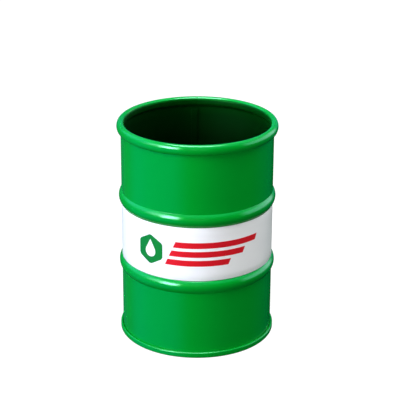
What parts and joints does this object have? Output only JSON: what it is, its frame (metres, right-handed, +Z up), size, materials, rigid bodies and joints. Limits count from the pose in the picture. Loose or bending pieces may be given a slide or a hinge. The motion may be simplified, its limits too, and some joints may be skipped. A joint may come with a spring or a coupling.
{
  "type": "miniature oil drum pen pot",
  "caption": "Open-topped tin pot shaped like an oil drum, with a wired rim, rolling hoops, a printed band and a double-seamed base.",
  "frame": {"origin": "on the axis, in the plane that the foot stands on", "axes": "+Z up along the axis of the drum; +Y to the back, where the side seam is; -Y the front"},
  "size_m": [0.079, 0.079, 0.1102],
  "materials": {
    "green_enamel": "gloss green stoving enamel on tinplate",
    "wire_steel": "drawn bright steel wire",
    "seam_compound": "dried can-seam lining compound",
    "band_print": "white gloss printed film with red and green printing"
  },
  "bodies": {
    "root": {"body_shell": "green_enamel", "base_panel": "green_enamel", "rim_wire": "wire_steel", "seam_compound": "seam_compound", "label_band": "band_print"}
  },
  "joints": []
}
